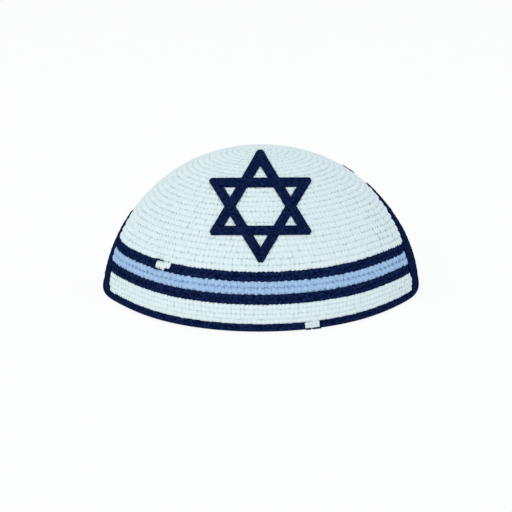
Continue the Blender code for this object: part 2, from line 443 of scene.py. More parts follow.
class Skein:
    """Collects strands and sheets of yarn and makes one piece of them."""

    def __init__(self, dice: np.random.Generator) -> None:
        """Start empty.

        Args:
            dice: The source of the strands' small irregularities.
        """
        self.dice = dice
        self.points: list[np.ndarray] = []
        self.tones: list[np.ndarray] = []
        self.crests: list[np.ndarray] = []
        self.faces: list[np.ndarray] = []
        self.corners: list[np.ndarray] = []
        self.count = 0

    def tone(self, spread: float, count: int) -> np.ndarray:
        """Return a random tone for each of some strands."""
        return np.clip(0.5 + self.dice.normal(0.0, spread, count), 0.0, 1.0)

    def lay(
        self,
        points: np.ndarray,
        faces: list[tuple[np.ndarray, np.ndarray]],
        tone: np.ndarray | float,
        crest: np.ndarray | float,
    ) -> None:
        """Add points with their faces.

        Args:
            points: The points' places.
            faces: Pairs of point indices and of corner places along the yarn.
            tone: The points' tones.
            crest: How far the points stand out of the fabric, 0 to 1; the material paints shade
                where it is low and a highlight where it is high.
        """
        for rows, corners in faces:
            self.faces.append(rows + self.count)
            self.corners.append(corners)
        for values, kept in ((tone, self.tones), (crest, self.crests)):
            kept.append(np.broadcast_to(values, points.shape[:-1]).reshape(-1))
        self.points.append(points.reshape(-1, 3))
        self.count += len(self.points[-1])

    def strands(
        self,
        centres: np.ndarray,
        outward: np.ndarray,
        width: np.ndarray | float,
        thickness: np.ndarray | float,
        tone: np.ndarray,
        crest: np.ndarray | float,
        sides: int,
    ) -> None:
        """Add flat-oval strands with closed ends.

        Args:
            centres: Centre lines, strand by strand.
            outward: Outward directions along them.
            width: Half widths along each strand.
            thickness: Half thicknesses along each strand.
            tone: One tone a strand.
            crest: How far the fabric stands out along each strand; a low value is painted in
                shade.
            sides: Number of sides.
        """
        total, rings = centres.shape[:2]
        width, thickness, crest = (
            np.broadcast_to(values, (total, rings))[..., None]
            for values in (width, thickness, crest)
        )
        ahead = unit(np.gradient(centres, axis=1))
        across = unit(np.cross(ahead, outward))
        raised = np.cross(across, ahead)
        angle = np.arange(sides) * math.tau / sides
        cosine, sine = np.cos(angle), np.sin(angle)
        points = (
            centres[:, :, None]
            + across[:, :, None] * (width * cosine)[..., None]
            + raised[:, :, None] * (thickness * sine)[..., None]
        )
        # Painted shade on the strands' sides and undersides: only their outward face keeps the
        # full crest value
        shown = crest * (0.85 + 0.15 * np.clip(sine, 0.0, 1.0))
        self.lay(points, strand_faces(total, rings, sides), tone[:, None, None], shown)

    def sheet(self, points: np.ndarray, crest: float, capped: bool = False) -> None:
        """Add rows of points, each closed into a ring, as a surface.

        Args:
            points: Rows of points.
            crest: How far the sheet stands out of the fabric; a low value paints it in shade.
            capped: Whether the first and last rings are filled.
        """
        rows, columns = points.shape[:2]
        index = np.arange(rows * columns).reshape(rows, columns)
        ends = np.stack([index[0, ::-1], index[-1]])
        index = np.concatenate([index, index[:, :1]], axis=1)
        quads = np.stack(
            [index[:-1, :-1], index[:-1, 1:], index[1:, 1:], index[1:, :-1]], axis=-1
        ).reshape(-1, 4)
        faces = [(quads, np.zeros((len(quads), 4, 2)))]
        if capped:
            faces.append((ends, np.zeros((2, columns, 2))))
        self.lay(points, faces, 0.5, crest)

    def piece(self, name: str, finish: YarnFinish, *nodes: str) -> None:
        """Make the collected faces into a smooth piece that rides on the cap.

        Args:
            name: The piece's name.
            finish: Its finish.
            nodes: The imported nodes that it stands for, if there are any.
        """
        mesh = bpy.data.meshes.new(name)
        points = np.concatenate(self.points)
        sizes = np.concatenate([np.full(len(rows), rows.shape[1]) for rows in self.faces])
        corners = np.concatenate([rows.reshape(-1) for rows in self.faces])
        places = np.concatenate([spots.reshape(-1, 2) for spots in self.corners])
        mesh.vertices.add(len(points))
        mesh.vertices.foreach_set("co", points.astype(np.float32).reshape(-1))
        mesh.loops.add(len(corners))
        mesh.loops.foreach_set("vertex_index", corners.astype(np.int32))
        mesh.polygons.add(len(sizes))
        starts = np.concatenate([[0], np.cumsum(sizes)[:-1]])
        mesh.polygons.foreach_set("loop_start", starts.astype(np.int32))
        mesh.update(calc_edges=True)
        layer = mesh.uv_layers.new(name="along")
        layer.data.foreach_set("uv", places.astype(np.float32).reshape(-1))
        for title, values in (("tone", self.tones), ("crest", self.crests)):
            attribute = mesh.attributes.new(title, "FLOAT", "POINT")
            attribute.data.foreach_set("value", np.concatenate(values).astype(np.float32))
        tidy = bmesh.new()
        tidy.from_mesh(mesh)
        bmesh.ops.remove_doubles(tidy, verts=tidy.verts, dist=SAME_PLACE)
        bmesh.ops.recalc_face_normals(tidy, faces=tidy.faces)
        tidy.to_mesh(mesh)
        tidy.free()
        mesh.shade_smooth()
        mesh.materials.append(DYES[finish.name])
        made = bpy.data.objects.new(name, mesh)
        bpy.context.scene.collection.objects.link(made)
        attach(made, "root")
        if nodes:
            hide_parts(*nodes)
        log.info("%s: %d faces", name, len(mesh.polygons))


def unit(vectors: np.ndarray) -> np.ndarray:
    """Return vectors with a length of one."""
    return vectors / np.linalg.norm(vectors, axis=-1, keepdims=True)


def strand_faces(total: int, rings: int, sides: int) -> list[tuple[np.ndarray, np.ndarray]]:
    """Return the faces of many strands.

    Args:
        total: How many strands there are.
        rings: Rings in each strand.
        sides: Sides of each ring.

    Returns:
        The side faces and the two end faces, with their places along the yarn.
    """
    ring = np.arange(rings - 1)[:, None] * sides
    side = np.arange(sides)[None, :]
    after = (side + 1) % sides
    quads = np.stack(
        [ring + side, ring + after, ring + sides + after, ring + sides + side], axis=-1
    ).reshape(-1, 4)
    low = np.broadcast_to(ring / sides / (rings - 1), (rings - 1, sides))
    left = np.broadcast_to(side / sides, (rings - 1, sides))
    high, right = low + 1.0 / (rings - 1), left + 1.0 / sides
    spots = np.stack([left, low, right, low, right, high, left, high], -1).reshape(-1, 4, 2)
    start = np.arange(total)[:, None, None] * rings * sides
    caps = np.stack([side[0][::-1], (rings - 1) * sides + side[0]])
    return [
        ((quads[None] + start).reshape(-1, 4), np.tile(spots, (total, 1, 1))),
        ((caps[None] + start).reshape(-1, sides), np.zeros((total * 2, sides, 2))),
    ]


@dataclass
class StitchForm:
    """The form of a pair of stitches: two loops side by side that bulge out."""

    pitch: float = STITCH_PITCH
    rings: int = 6
    sides: int = 6
    foot_spread: float = 0.25
    head_spread: float = 0.25
    bow: float = 0.0
    foot_drop: float = 0.02
    head_rise: float = 0.02
    step: float = 0.0
    half_width: float = 0.35
    end_width: float = 0.6
    half_thickness: float = 0.00044
    sunk: float = -0.00068
    crown: float = -0.00034
    bulge_foot: float = 0.06
    bulge_power: float = 0.7
    jitter: float = 0.09
    aside_jitter: float = 0.3
    way_jitter: float = 0.4
    rise_jitter: float = 0.0006
    lean: float = 0.10
    tone_spread: float = 0.28

    def legs(
        self,
        dome: Dome,
        skein: Skein,
        turn: np.ndarray,
        ends: tuple[float, float],
        pitch: float,
        lift: np.ndarray | float,
        shown: np.ndarray | None = None,
    ) -> None:
        """Add the two legs of each stitch of a row.

        Args:
            dome: The dome that they lie on.
            skein: Where the strands go.
            turn: Angle of each stitch's middle, or its angles from foot to head.
            ends: Ways along the surface to the stitches' feet and heads.
            pitch: Width of each stitch.
            lift: How far each stitch is raised.
            shown: Which left and right legs to add, stitch by stitch; all if not given.
        """
        share = np.linspace(0.0, 1.0, self.rings)
        swell = self.bulge_foot + (1.0 - 2 * self.bulge_foot) * share
        bulge = np.sin(np.pi * swell) ** self.bulge_power
        full = self.end_width + (1.0 - self.end_width) * bulge
        low, high = ends
        middle = turn if turn.ndim == 2 else turn[:, None]
        rows = (len(turn), 1)
        lift = np.broadcast_to(lift, len(turn))[:, None]
        if shown is None:
            shown = np.ones((len(turn), 2), bool)
        for side, kept in zip((-1.0, 1.0), shown.T):
            shake = skein.dice.normal(0.0, self.jitter, (4, *rows))
            slant = skein.dice.normal(0.0, self.lean, rows) * (share - 0.5)
            spread = self.foot_spread + (self.head_spread - self.foot_spread) * share
            spread = side * (spread + self.bow * np.sin(np.pi * share))
            away = spread * (1.0 + self.aside_jitter * shake[0])
            away = away + self.aside_jitter * shake[1] + slant
            way = low + (high - low) * (
                -self.foot_drop
                + (1.0 + self.foot_drop + self.head_rise) * share
                + self.way_jitter * shake[2]
                + side * self.step
            )
            angle = middle + away * pitch / dome.radius_at(way)
            rise = self.crown - self.sunk + self.rise_jitter * shake[3]
            centres, outward = dome.place(angle, way, self.sunk + rise * bulge + lift)
            tone = skein.tone(self.tone_spread, len(turn))
            thickness = self.half_thickness * (1.0 + bulge) / 2
            # The crest value follows the bulge, so each leg's ends, where it dips into the
            # fabric, get painted shade
            skein.strands(
                centres[kept],
                outward[kept],
                pitch * self.half_width * full,
                thickness,
                tone[kept],
                bulge,
                self.sides,
            )


@dataclass
class PurlForm:
    """The form of the purl bumps inside: short arched strands."""

    rings: int = 5
    sides: int = 5
    bend: float = 1.4
    half_reach: float = 0.62
    rise: float = 0.34
    drop: float = 0.2
    half_width: float = 0.30
    half_thickness: float = 0.0005
    end_width: float = 0.6
    foot_crest: float = 0.4
    sunk: float = 0.0001
    crown: float = 0.00045
    jitter: float = 0.06
    tone_spread: float = 0.25

    def bumps(self, dome: Dome, skein: Skein, turn: np.ndarray, low: float, high: float) -> None:
        """Add one bump a stitch.

        Args:
            dome: The dome that they lie in.
            skein: Where the strands go.
            turn: Angles of the bumps.
            low: Way along the surface to the row's foot.
            high: Way along the surface to the row's head.
        """
        share = np.linspace(-1.0, 1.0, self.rings)
        arch = np.cos(share * self.bend)
        shake = skein.dice.normal(0.0, self.jitter, (2, len(turn), 1))
        step = math.tau / len(turn)
        angle = turn[:, None] + (share * self.half_reach + shake[0]) * step
        way = (low + high) / 2 + (high - low) * (self.rise * arch - self.drop + shake[1])
        centres, outward = dome.place(angle, way, -WALL + self.sunk - self.crown * arch)
        full = self.end_width + (1.0 - self.end_width) * arch
        width = (high - low) * self.half_width * full
        tone = skein.tone(self.tone_spread, len(turn))
        # Painted shade at the bumps' feet, where they dip into the fabric
        crest = self.foot_crest + (1.0 - self.foot_crest) * arch
        skein.strands(
            centres, outward, width, self.half_thickness * full, tone, crest, self.sides
        )


def catmull(values: np.ndarray, steps: np.ndarray) -> np.ndarray:
    """Return a smooth curve through evenly spaced values.

    Args:
        values: The values.
        steps: Where to read the curve, from 0 at the first value to 1 at the last.

    Returns:
        The curve's values at the steps.
    """
    padded = np.concatenate([values[:1], values, values[-1:]])
    index = np.minimum(steps * (len(values) - 1), len(values) - 2).astype(int)
    share = steps * (len(values) - 1) - index
    before, start = padded[index], padded[index + 1]
    end, after = padded[index + 2], padded[index + 3]
    return (
        start
        + 0.5 * share * (end - before)
        + share ** 2 * (before - 2.5 * start + 2.0 * end - 0.5 * after)
        + share ** 3 * (1.5 * start - 0.5 * before - 1.5 * end + 0.5 * after)
    )


@dataclass
class Outline:
    """A side trim's outline on the dome, seen from the side."""

    dome: Dome
    side: float
    shares: tuple[tuple[float, float, float], ...]
    samples: int = 60

    @property
    def top(self) -> float:
        """The height of the trim's point."""
        return self.shares[-1][0] * self.dome.height

    def edges(self, height: np.ndarray) -> tuple[np.ndarray, np.ndarray]:
        """Return the trim's front and rear edges at some heights.

        Args:
            height: Heights over the rim.

        Returns:
            The angles from the front of the front edge and of the rear edge.
        """
        steps = np.linspace(0.0, 1.0, self.samples)
        levels, *edges = (catmull(column, steps) for column in np.array(self.shares).T)
        radius = np.interp(height, self.dome.heights, self.dome.radii)
        front, rear = (
            np.interp(height / self.dome.height, levels, edge) * self.dome.radius / radius
            for edge in edges
        )
        return np.arccos(np.clip(-front, -1.0, 1.0)), np.arccos(np.clip(-rear, -1.0, 1.0))

    def inside(self, turn: np.ndarray, height: float, margin: float) -> np.ndarray:
        """Return which places on the dome the trim covers.

        Args:
            turn: Angles from the front.
            height: Their height over the rim.
            margin: How far to widen the trim, in metres.

        Returns:
            True for each place under the trim.
        """
        front, rear = self.edges(height)
        spare = margin / np.interp(height, self.dome.heights, self.dome.radii)
        angle = self.side * heading_of(turn)
        return (angle > front - spare) & (angle < rear + spare) & (height < self.top)


@dataclass
class Course:
    """One course of knitting: a ring of stitches between two ways along the surface."""

    low: float
    high: float

    @property
    def middle(self) -> float:
        """The way along the surface to the course's middle."""
        return (self.low + self.high) / 2

    def stitches(self, dome: Dome, skein: Skein, pitch: float) -> np.ndarray:
        """Return the angles of the course's stitches, from a random first one.

        Args:
            dome: The dome that they lie on.
            skein: The source of the first stitch's angle.
            pitch: The stitches' width.

        Returns:
            Evenly spaced angles round the dome.
        """
        count = round(math.tau * float(dome.radius_at(self.middle)) / pitch)
        start = skein.dice.uniform(0.0, math.tau)
        return start + np.arange(count) * math.tau / count - math.pi


Keep = Callable[[np.ndarray, float], np.ndarray]


@dataclass
class Knitting:
    """The knitted wall: courses of stitches outside, a backing and purl bumps inside."""

    dome: Dome
    trims: list[Outline]
    form: StitchForm = field(default_factory=StitchForm)
    purl_form: PurlForm = field(default_factory=PurlForm)
    backing_lift: float = -0.00060
    backing_steps: int = 180
    # The backing seen between the strands is painted about half in shade
    backing_crest: float = 0.45
    flat_reach: float = 0.0045
    flat_sunk: float = -0.00045
    flat_end: float = 0.95

    def courses(self, low: float, high: float, count: int) -> list[Course]:
        """Return evenly spaced courses between two ways along the surface."""
        edges = np.linspace(low, high, count + 1).tolist()
        return [Course(first, last) for first, last in zip(edges[:-1], edges[1:])]

    def knit(
        self,
        skein: Skein,
        courses: list[Course],
        keep: Keep | None = None,
        lift: float = 0.0,
        form: StitchForm | None = None,
    ) -> None:
        """Knit courses of outer stitches, those beside a trim pulled flat.

        Args:
            skein: Where the strands go.
            courses: The courses to knit.
            keep: Says which stitches of a course to knit, by angle and height.
            lift: How far the stitches are raised.
            form: The stitches' form, where it isn't the usual one.
        """
        form = form or self.form
        pulled_flat = replace(form, sunk=self.flat_sunk, end_width=self.flat_end)
        for course in courses:
            turn = course.stitches(self.dome, skein, form.pitch)
            height = float(self.dome.height_at(course.middle))
            step = math.tau / len(turn)
            if keep is not None:
                turn = turn[keep(turn, height)]
            pitch = step * float(self.dome.radius_at(course.middle))
            shown = np.stack(
                [~self.under_trim(turn + side * step / 4, height, 0.0) for side in (-1, 1)],
                axis=1,
            )
            beside = self.under_trim(turn, height, self.flat_reach)
            ends = (course.low, course.high)
            for chosen, shape in ((~beside, form), (beside, pulled_flat)):
                shape.legs(self.dome, skein, turn[chosen], ends, pitch, lift, shown[chosen])

    def under_trim(self, turn: np.ndarray, height: float, margin: float) -> np.ndarray:
        """Return which angles at a height lie under a side trim or within a margin of it."""
        return np.any([trim.inside(turn, height, margin) for trim in self.trims], axis=0)

    def rings(self, section: list[tuple[float, float]]) -> np.ndarray:
        """Return rings round the dome at pairs of a way along the surface and a lift."""
        turn = np.arange(self.backing_steps) * math.tau / self.backing_steps
        return np.array([self.dome.place(turn, way, lift)[0] for way, lift in section])

    def back(self, skein: Skein, low: float, high: float, rows: int, sunk: float = 0.0) -> None:
        """Add the closed backing between two ways along the surface.

        Args:
            skein: Where the faces go.
            low: Lower end.
            high: Upper end.
            rows: Rows of faces on each side.
            sunk: How much deeper than usual it lies.
        """
        ways = np.linspace(high, low, rows + 1)
        section = [(way, self.backing_lift - sunk) for way in ways]
        section += [(way, -WALL) for way in ways[::-1]]
        if high < self.dome.top_arc:
            section.append(section[0])
        skein.sheet(self.rings(section), self.backing_crest)

    def purl(self, skein: Skein, courses: list[Course]) -> None:
        """Add the purl bumps that the courses show inside the cap.

        Args:
            skein: Where the strands go.
            courses: The courses.
        """
        for course in courses:
            turn = course.stitches(self.dome, skein, STITCH_PITCH)
            self.purl_form.bumps(self.dome, skein, turn, course.low, course.high)


@dataclass
class Crown:
    """The white knitted crown, from the upper stripe to the top."""

    knitting: Knitting
    low_height: float
    course_height: float = 0.0031
    split_share: float = 0.42
    top_gap: float = 0.0022
    backing_rows: int = 40
    ring_loops: int = 6
    ring_start: float = 0.3
    ring_reach: float = 0.62
    ring_bend: float = 2.4
    ring_gap: float = 0.0012
    ring_half: float = 0.0007
    ring_sunk: float = -0.0003
    ring_rise: float = 0.0002
    ring_flatness: float = 0.8
    ring_tone_spread: float = 0.2
    seed: int = 11

    def make(self) -> None:
        """Knit the crown in a lower and an upper piece, and its inside."""
        dome = self.knitting.dome
        low = dome.arc_at(self.low_height)
        high = dome.top_arc - self.top_gap
        count = round((high - low) / self.course_height)
        courses = self.knitting.courses(low, high, count)
        split = round(count * self.split_share)
        dice = np.random.default_rng(self.seed)
        lower = Skein(dice)
        self.knitting.knit(lower, courses[:split])
        lower.piece("crown_lower_courses", WHITE)
        upper = Skein(dice)
        self.knitting.knit(upper, courses[split:])
        self.close_top(upper)
        upper.piece("crown_upper_courses", WHITE)
        inside = Skein(dice)
        self.knitting.back(inside, low, dome.top_arc, self.backing_rows)
        self.knitting.purl(inside, courses)
        inside.piece("crown_inside", WHITE, "crown")

    def close_top(self, skein: Skein) -> None:
        """Close the top with the small ring of loops that the knitting starts from.

        Args:
            skein: Where the strands go.
        """
        dome = self.knitting.dome
        step = math.tau / self.ring_loops
        share = np.linspace(-self.ring_reach, self.ring_reach, self.ring_loops)
        angle = (np.arange(self.ring_loops) * step + self.ring_start)[:, None] + share * step
        lift = self.ring_sunk + self.ring_rise * np.cos(share * self.ring_bend)
        centres, outward = dome.place(angle, dome.top_arc - self.ring_gap, lift)
        tone = skein.tone(self.ring_tone_spread, self.ring_loops)
        half, sides = self.ring_half, self.knitting.form.sides
        skein.strands(centres, outward, half, half * self.ring_flatness, tone, 1.0, sides)


@dataclass
class Band:
    """A coloured round of the wall with its courses, backing and purl side."""

    knitting: Knitting
    name: str
    node: str
    finish: YarnFinish
    low_height: float
    high_height: float
    course_count: int
    seed: int
    keep: Keep | None = None
    form: StitchForm | None = None
    sunk: float = 0.0
    backing_rows: int = 3

    def make(self) -> None:
        """Knit the band as one piece."""
        low, high = map(self.knitting.dome.arc_at, (self.low_height, self.high_height))
        courses = self.knitting.courses(low, high, self.course_count)
        skein = Skein(np.random.default_rng(self.seed))
        self.knitting.knit(skein, courses, self.keep, form=self.form)
        self.knitting.back(skein, low, high, self.backing_rows, self.sunk)
        self.knitting.purl(skein, courses)
        skein.piece(self.name, self.finish, self.node)


@dataclass
class Span:
    """A short run of a round, between two angles from the front."""

    start: float
    end: float

    def covers(self, turn: np.ndarray) -> np.ndarray:
        """Return which angles lie in the run."""
        heading = heading_of(turn)
        return (heading > self.start) & (heading < self.end)

    def at(self, share: float | np.ndarray) -> float | np.ndarray:
        """Return the angle at a share of the run."""
        return self.start + (self.end - self.start) * share

    def places(self, radius: float, pitch: float) -> tuple[np.ndarray, float]:
        """Return evenly spaced angles in the run and the width of each place.

        Args:
            radius: The round's radius.
            pitch: The width that each place should have.

        Returns:
            The angles, and the width that fills the run.
        """
        length = (self.end - self.start) * radius
        count = max(1, round(length / pitch))
        return self.at((np.arange(count) + 0.5) / count), length / count


@dataclass
class Edging:
    """The navy edging: one course over a rolled rim, wrapped with short stitches."""

    knitting: Knitting
    high_height: float
    break_span: Span
    lift: float = 0.00025
    wrap_pitch: float = 0.0016
    wrap_foot: float = 0.0011
    wrap_drop: float = 0.00110
    wrap_height: float = 0.00146
    wrap_reach: float = 0.0016
    wrap_out: float = 0.0005
    wrap_squareness: float = 0.25
    wrap_slant: float = 0.0007
    wrap_overlap: float = 0.56
    wrap_half: float = 0.00036
    wrap_swing: float = 0.3
    wrap_rings: int = 17
    wrap_sides: int = 5
    wrap_jitter: float = 0.05
    wrap_tone_spread: float = 0.25
    roll_low: tuple[tuple[float, float], ...] = (
        (0.0014, 0.0003),
        (0.0004, 0.0006),
        (0.0001, 0.0003),
        (0.0001, -0.0028),
        (0.0012, -0.0031),
    )
    roll_outer: float = -0.0003
    roll_inner: float = 0.0004
    # The rolled rim under the wraps is painted mostly in shade
    roll_crest: float = 0.1
    seed: int = 31

    @property
    def course(self) -> Course:
        """The edging's one course."""
        return Course(self.wrap_foot, self.knitting.dome.arc_at(self.high_height))

    def wraps(self, skein: Skein, turn: np.ndarray) -> None:
        """Wrap short stitches round the rim.

        Args:
            skein: Where the strands go.
            turn: Angles of the wraps.
        """
        dome = self.knitting.dome
        swing = np.linspace(-self.wrap_swing, math.pi + self.wrap_swing, self.wrap_rings)
        shake = skein.dice.normal(0.0, self.wrap_jitter, (2, len(turn), 1))
        slant = (swing / math.pi - 0.5 + shake[0]) * self.wrap_slant / dome.radius
        cosine, sine = np.cos(swing), np.sin(swing)
        out, down = (
            np.sign(part) * np.abs(part) ** self.wrap_squareness for part in (cosine, sine)
        )
        lift = -self.wrap_reach + (self.wrap_reach + self.wrap_out) * out
        way = self.wrap_height - self.wrap_drop * down
        centres, radial = dome.place(turn[:, None] + slant, way, lift)
        outward = radial * cosine[:, None] - np.array([0.0, 0.0, 1.0]) * sine[:, None]
        tone = skein.tone(self.wrap_tone_spread, len(turn))
        width = self.wrap_pitch * self.wrap_overlap
        skein.strands(centres, outward, width, self.wrap_half, tone, 1.0, self.wrap_sides)

    def make(self) -> None:
        """Knit and wrap the edging, leaving its white break open."""
        skein = Skein(np.random.default_rng(self.seed))
        self.knitting.knit(
            skein, [self.course], lambda turn, height: ~self.break_span.covers(turn), self.lift
        )
        count = round(math.tau * self.knitting.dome.radius / self.wrap_pitch)
        turn = np.linspace(-math.pi, math.pi, count)[:-1]
        self.wraps(skein, turn[~self.break_span.covers(turn)])
        self.roll(skein)
        self.knitting.purl(skein, [self.course])
        skein.piece("rim_edging_stitches", NAVY, "rim_edging")

    def roll(self, skein: Skein) -> None:
        """Add the rolled rim that the wraps lie on.

        Args:
            skein: Where the faces go.
        """
        high = self.course.high
        outer, inner = (high, self.roll_outer), (high, -EDGING_WALL + self.roll_inner)
        section = [outer, *self.roll_low, inner, outer]
        skein.sheet(self.knitting.rings(section), self.roll_crest)


@dataclass
class Thread:
    """A thin thread that lies on the dome and tapers a little."""

    turns: tuple[float, float]
    ways: tuple[float, float]
    halves: tuple[float, float]
    lift: float
    rings: int = 9
    sides: int = 6
    end_share: float = 0.25
    end_width: float = 0.35

    def lay(self, skein: Skein, dome: Dome) -> None:
        """Lay the thread on the dome, with blunt points at its ends.

        Args:
            skein: Where the strand goes.
            dome: The dome.
        """
        share = np.linspace(0.0, 1.0, self.rings)
        turn, way, half = (
            first + (last - first) * share for first, last in (self.turns, self.ways, self.halves)
        )
        half = half * np.sin(np.pi * np.clip(share / self.end_share, self.end_width, 0.5))
        centres, outward = dome.place(turn, way, self.lift)
        skein.strands(centres[None], outward[None], half, half, np.array([0.5]), 1.0, self.sides)


MEND_FORM = StitchForm(end_width=0.35)


@dataclass
class StripeMend:
    """White stitches that break the upper navy stripe, with navy threads beside them."""

    knitting: Knitting
    low_height: float
    high_height: float
    tall: Span
    short: Span
    pitch: float = 0.0036
    lift: float = 0.0004
    foot: float = 0.0004
    wedge_share: float = 0.36
    thread_start: float = -0.01
    thread_shares: tuple[float, float] = (0.55, 0.42)
    thread_lift_ratio: float = 1.5
    thread_halves: tuple[float, float] = (0.00046, 0.00022)
    form: StitchForm = field(default_factory=lambda: MEND_FORM)
    seed: int = 41

    def covers(self, turn: np.ndarray, height: float) -> np.ndarray:
        """Return which stitches of the stripe are left out.

        Args:
            turn: Their angles from the front.
            height: Their course's height.

        Returns:
            True for each stitch that the mend takes the place of.
        """
        if height > (self.low_height + self.high_height) / 2:
            return self.tall.covers(turn) | self.short.covers(turn)
        return self.tall.covers(turn)

    def make(self) -> None:
        """Sew the tall and the short white stitches and the navy threads along them."""
        dome = self.knitting.dome
        low, high = map(dome.arc_at, (self.low_height, self.high_height))
        radius = float(dome.radius_at((low + high) / 2))
        skein = Skein(np.random.default_rng(self.seed))
        for span, foot in (
            (self.tall, low + self.foot),
            (self.short, low + self.wedge_share * (high - low)),
        ):
            turn, pitch = span.places(radius, self.pitch)
            self.form.legs(dome, skein, turn, (foot, high), pitch, self.lift)
        skein.piece("stripe_mend_stitches", WHITE, "stripe_mend")
        skein = Skein(skein.dice)
        run = Span(self.tall.start + self.thread_start, self.short.end)
        lift = self.lift * self.thread_lift_ratio
        for share, way in zip(self.thread_shares, (high, low + self.foot / 2)):
            turns = (run.start, run.at(share))
            Thread(turns, (way, way), self.thread_halves, lift).lay(skein, dome)
        skein.piece("stripe_mend_threads", NAVY)


@dataclass
class RimMend:
    """White stitches that break the rim edging, with a thin navy thread below."""

    edging: Edging
    pitch: float = 0.0040
    thread_way: float = 0.0004
    thread_lift: float = 0.0009
    thread_halves: tuple[float, float] = (0.00040, 0.00052)
    thread_runs: tuple[tuple[float, float], ...] = ((-0.02, 0.34), (0.42, 1.02))
    form: StitchForm = field(default_factory=lambda: MEND_FORM)
    seed: int = 43

    def make(self) -> None:
        """Sew the white stitches, their wraps and the navy thread."""
        edging, span = self.edging, self.edging.break_span
        dome = edging.knitting.dome
        skein = Skein(np.random.default_rng(self.seed))
        turn, pitch = span.places(dome.radius, self.pitch)
        ends = (edging.course.low, edging.course.high)
        self.form.legs(dome, skein, turn, ends, pitch, edging.lift)
        edging.wraps(skein, span.places(dome.radius, edging.wrap_pitch)[0])
        skein.piece("rim_mend_stitches", WHITE, "rim_mend")
        skein = Skein(skein.dice)
        ways = (self.thread_way, self.thread_way)
        for first, last in self.thread_runs:
            turns = (span.at(first), span.at(last))
            Thread(turns, ways, self.thread_halves, self.thread_lift).lay(skein, dome)
        skein.piece("rim_mend_threads", NAVY)


@dataclass
class SideTrim:
    """A navy side trim: stitches over a padded base, up to its point."""

    outline: Outline
    name: str
    node: str
    seed: int
    loose_end: Thread | None = None
    lift: float = 0.00050
    course_height: float = 0.0029
    pitch: float = 0.0040
    inner: float = 0.93
    fullness: float = 0.3
    foot: float = 0.0004
    pad_rows: int = 30
    pad_columns: int = 9
    pad_depth: float = 0.0003
    pad_lip: float = 0.00025
    pad_seat: float = -0.0012
    pad_seat_width: float = 0.8
    # The padded base seen between the trim's stitches is painted mostly in shade
    pad_crest: float = 0.3
    form: StitchForm = field(default_factory=StitchForm)

    def rounding(self, share: np.ndarray) -> np.ndarray:
        """Return how full the trim is between its front edge (0) and rear edge (1)."""
        return np.clip(np.sin(np.pi * share), 0.0, 1.0) ** self.fullness

    def make(self) -> None:
        """Stitch the trim as one piece."""
        dome = self.outline.dome
        top = dome.arc_at(self.outline.top)
        ways = np.linspace(self.foot, top - self.foot, round(top / self.course_height) + 1)
        skein = Skein(np.random.default_rng(self.seed))
        for low, high in zip(ways[:-1], ways[1:]):
            rise = np.linspace(low, high, self.form.rings)
            front, rear = self.outline.edges(dome.height_at(rise))
            width = float(np.mean((rear - front) * dome.radius_at(rise)))
            count = max(1, round(width / self.pitch))
            share = 0.5 + self.inner * ((np.arange(count) + 0.5) / count - 0.5)
            turn = self.outline.side * (front + (rear - front) * share[:, None])
            lift = self.lift * self.rounding(share)
            self.form.legs(dome, skein, turn, (low, high), width * self.inner / count, lift)
        self.pad(skein, ways[0], ways[-1])
        if self.loose_end:
            self.loose_end.lay(skein, dome)
        skein.piece(self.name, NAVY, self.node)

    def pad(self, skein: Skein, low: float, high: float) -> None:
        """Add the padded base under the stitches.

        Args:
            skein: Where the faces go.
            low: Way along the surface to its foot.
            high: Way along the surface to its point.
        """
        dome = self.outline.dome
        share = np.linspace(0.0, 1.0, self.pad_columns)
        full = np.maximum(self.lift * self.rounding(share) - self.pad_depth, self.pad_lip)
        lift = np.concatenate([full, np.full(self.pad_columns, self.pad_seat)])
        share = np.concatenate([share, 0.5 + self.pad_seat_width * (share[::-1] - 0.5)])
        rows = []
        for way in np.linspace(low, high, self.pad_rows):
            front, rear = self.outline.edges(dome.height_at(way))
            turn = self.outline.side * (front + (rear - front) * share)
            rows.append(dome.place(turn, way, lift)[0])
        skein.sheet(np.array(rows), self.pad_crest, capped=True)


